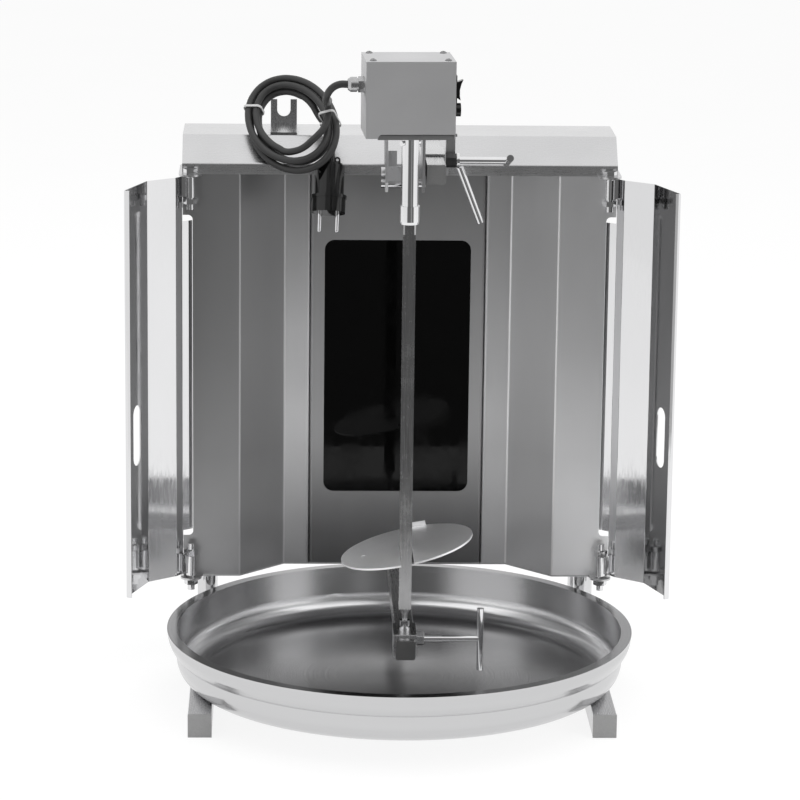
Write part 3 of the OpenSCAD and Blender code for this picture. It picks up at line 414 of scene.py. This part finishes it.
OVAL_IN = (46, 29.4)
OVAL_OUT = (68, 47.4)
OVAL_IN_CENTRE = Vector((-3, 4))
OVAL_OUT_CENTRE = Vector((-1.5, 1.5))
COIL_FIRST = 0.25
COIL_MIDDLE = 2
COIL_LAST = 3.75
RINGS_PER_LOOP = 24
LAYER_GAP = 8.2


def oval(size, angle):
    return size[0] * size[1] / math.hypot(size[1] * math.cos(angle), size[0] * math.sin(angle))


def coil_at(t):
    """A point of the coil after t turns: out in the front layer, then back in behind it."""
    away = abs(t - COIL_MIDDLE)
    spread = 1 - away * away - 0.0625 if away < 0.25 else 1 - away / 2
    climb = min(max((t - COIL_MIDDLE) * 2 + 0.5, 0), 1)
    layer = LAYER_GAP / 2 * (1 - 2 * climb * climb * (3 - 2 * climb))
    angle = -2 * math.pi * t
    reach = (oval(OVAL_IN, angle - COIL_SLANT) * (1 - spread)
             + oval(OVAL_OUT, angle - COIL_SLANT) * spread)
    flat = OVAL_IN_CENTRE * (1 - spread) + OVAL_OUT_CENTRE * spread
    flat = flat + reach * Vector((math.cos(angle), math.sin(angle)))
    return COIL_CENTRE + mm * (flat.x * COIL_RIGHT + flat.y * COIL_UP + layer * COIL_NORMAL)


def cord_points():
    gland = Matrix.Rotation(HEAD_TURN, 3, "Z") @ (GLAND_END - SPIT) + SPIT
    outwards = Vector((-math.cos(HEAD_TURN), -math.sin(HEAD_TURN), 0))
    steps = round((COIL_LAST - COIL_FIRST) * RINGS_PER_LOOP)
    coil = [coil_at(COIL_FIRST + i / RINGS_PER_LOOP) for i in range(steps + 1)]
    start = (coil[1] - coil[0]).normalized()
    end = (coil[-1] - coil[-2]).normalized()
    plug_up = Vector((math.sin(PLUG_LEAN[1]), math.sin(-PLUG_LEAN[0]), math.cos(PLUG_LEAN[0])))
    plug_up.normalize()
    entry = PLUG_PLACE + PLUG_ENTRY * plug_up
    points = [gland, gland + CORD_D * outwards]
    points += [Vector(p) * mm for p in LEAD_ROUTE]
    points += [coil[0] - CORD_D * start] + coil + [coil[-1] + 3 * mm * end]
    points += [Vector(p) * mm for p in PLUG_ROUTE]
    return points + [entry + CORD_D * plug_up, entry]


def make_cord():
    points = cord_points()
    data = bpy.data.curves.new("mains_lead", "CURVE")
    data.dimensions = "3D"
    data.bevel_depth = CORD_D / 2
    data.bevel_resolution = 4
    data.resolution_u = 4
    line = data.splines.new("BEZIER")
    line.bezier_points.add(len(points) - 1)
    for knot, point in zip(line.bezier_points, points):
        knot.co = point
        knot.handle_left_type = "AUTO"
        knot.handle_right_type = "AUTO"
    lead = bpy.data.objects.new("mains_lead", data)
    data.materials.append(MATERIALS["cord_rubber"].material)
    bpy.context.scene.collection.objects.link(lead)
    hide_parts("power_lead", "lead_coil", "plug_lead")
    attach(lead, "upper_carriage")


make_cord()


# Floor, world and lamps
FLOOR_FRONT = -0.75
FLOOR_REACH = 30
FLOOR_GLOW = 1.12
FLOOR_GLOW_SHARE = 0.75


def make_floor():
    """A pale floor. It ends a little in front of the object, as a studio table does."""
    mesh = bpy.data.meshes.new("floor")
    corners = [(-FLOOR_REACH, FLOOR_FRONT, 0), (FLOOR_REACH, FLOOR_FRONT, 0),
               (FLOOR_REACH, FLOOR_REACH, 0), (-FLOOR_REACH, FLOOR_REACH, 0)]
    mesh.from_pydata(corners, [], [(0, 1, 2, 3)])
    floor = bpy.data.objects.new("floor", mesh)
    bpy.context.scene.collection.objects.link(floor)
    s = Shader("floor", (0.88, 0.88, 0.88), 0.9)
    s.main.inputs["Specular IOR Level"].default_value = 0.0
    s.tint(s.ramp(s.noise(3, (1, 1, 1), 2), 0.99, 1.01))
    glow = s.nodes.new("ShaderNodeEmission")
    glow.inputs["Color"].default_value = (1, 1, 1, 1)
    glow.inputs["Strength"].default_value = FLOOR_GLOW
    rays = s.nodes.new("ShaderNodeLightPath")
    seen = s.maths("MAXIMUM", rays.outputs["Is Camera Ray"], rays.outputs["Is Glossy Ray"])
    seen = s.maths("MAXIMUM", seen, rays.outputs["Is Transmission Ray"])
    mix = s.nodes.new("ShaderNodeMixShader")
    s.links.new(s.maths("MULTIPLY", seen, FLOOR_GLOW_SHARE), mix.inputs["Fac"])
    s.links.new(s.main.outputs["BSDF"], mix.inputs[1])
    s.links.new(glow.outputs["Emission"], mix.inputs[2])
    s.links.new(mix.outputs["Shader"], s.nodes["Material Output"].inputs["Surface"])
    mesh.materials.append(s.material)


# What metal sees of the studio, by direction in degrees from the front (0), to the right (90)
# and back (180): the dark room, the lamps beside it and the white background.
STUDIO = [
    (-180, 1.0), (-115, 1.0), (-98, 0.5), (-85, 0.95), (-35, 0.95),
    (-22, 0.14), (10, 0.14), (18, 0.4), (26, 0.14), (42, 0.2),
    (50, 1.05), (110, 1.05), (125, 0.8), (150, 1.0), (180, 1.0),
]
OVERHEAD = 1.0
OVERHEAD_RISE = (0.35, 0.75)
SOFT_LIGHT = 0.55


def make_world():
    world = bpy.data.worlds.new("studio")
    bpy.context.scene.world = world
    world.use_nodes = True
    nodes, links = world.node_tree.nodes, world.node_tree.links

    def node(kind, operation, *values):
        made = nodes.new(kind)
        made.operation = operation
        for socket, value in zip(made.inputs, values):
            if isinstance(value, (int, float)):
                socket.default_value = value
            else:
                links.new(value, socket)
        return made.outputs[0]

    rays = nodes.new("ShaderNodeLightPath")
    split = nodes.new("ShaderNodeSeparateXYZ")
    links.new(nodes.new("ShaderNodeTexCoord").outputs["Generated"], split.inputs["Vector"])
    x, y, z = split.outputs
    angle = node("ShaderNodeMath", "ARCTAN2", x, node("ShaderNodeMath", "MULTIPLY", y, -1))
    turn = node("ShaderNodeMath", "ADD", node("ShaderNodeMath", "DIVIDE", angle, 2 * math.pi), 0.5)
    ramp = nodes.new("ShaderNodeValToRGB")
    ramp.color_ramp.interpolation = "EASE"
    stops = ramp.color_ramp.elements
    while len(stops) < len(STUDIO):
        stops.new(0.5)
    for stop, (degrees, level) in zip(stops, STUDIO):
        stop.position = (degrees + 180) / 360
        stop.color = (level, level, level, 1)
    links.new(turn, ramp.inputs["Fac"])
    up = nodes.new("ShaderNodeMapRange")
    up.interpolation_type = "SMOOTHSTEP"
    up.inputs["From Min"].default_value = OVERHEAD_RISE[0]
    up.inputs["From Max"].default_value = OVERHEAD_RISE[1]
    links.new(z, up.inputs["Value"])
    above = nodes.new("ShaderNodeMix")
    above.data_type = "FLOAT"
    links.new(up.outputs["Result"], above.inputs["Factor"])
    links.new(ramp.outputs["Color"], above.inputs["A"])
    above.inputs["B"].default_value = OVERHEAD
    shiny = node("ShaderNodeMath", "MAXIMUM", rays.outputs["Is Glossy Ray"],
                 rays.outputs["Is Transmission Ray"])
    level = nodes.new("ShaderNodeMix")
    level.data_type = "FLOAT"
    links.new(shiny, level.inputs["Factor"])
    level.inputs["A"].default_value = SOFT_LIGHT
    links.new(above.outputs["Result"], level.inputs["B"])
    seen = nodes.new("ShaderNodeMix")
    seen.data_type = "FLOAT"
    links.new(rays.outputs["Is Camera Ray"], seen.inputs["Factor"])
    links.new(level.outputs["Result"], seen.inputs["A"])
    seen.inputs["B"].default_value = 1.0
    links.new(seen.outputs["Result"], nodes["Background"].inputs["Strength"])
    nodes["Background"].inputs["Color"].default_value = (1, 1, 1, 1)


def area_lamp(name, place, target, size, power):
    data = bpy.data.lights.new(name, "AREA")
    data.shape = "RECTANGLE"
    data.size, data.size_y = size
    data.energy = power
    lamp = bpy.data.objects.new(name, data)
    lamp.visible_glossy = False
    lamp.location = place
    lamp.rotation_euler = (Vector(target) - Vector(place)).to_track_quat("-Z", "Y").to_euler()
    bpy.context.scene.collection.objects.link(lamp)


make_floor()
make_world()
area_lamp("top_softbox", (0.1, 0.2, 2.8), (0, 0, 0.3), (3.6, 3.2), 42)
area_lamp("right_softbox", (2.2, -1.6, 1.4), (0, 0, 0.35), (1.0, 1.8), 10)
bpy.context.scene.view_settings.view_transform = "Standard"
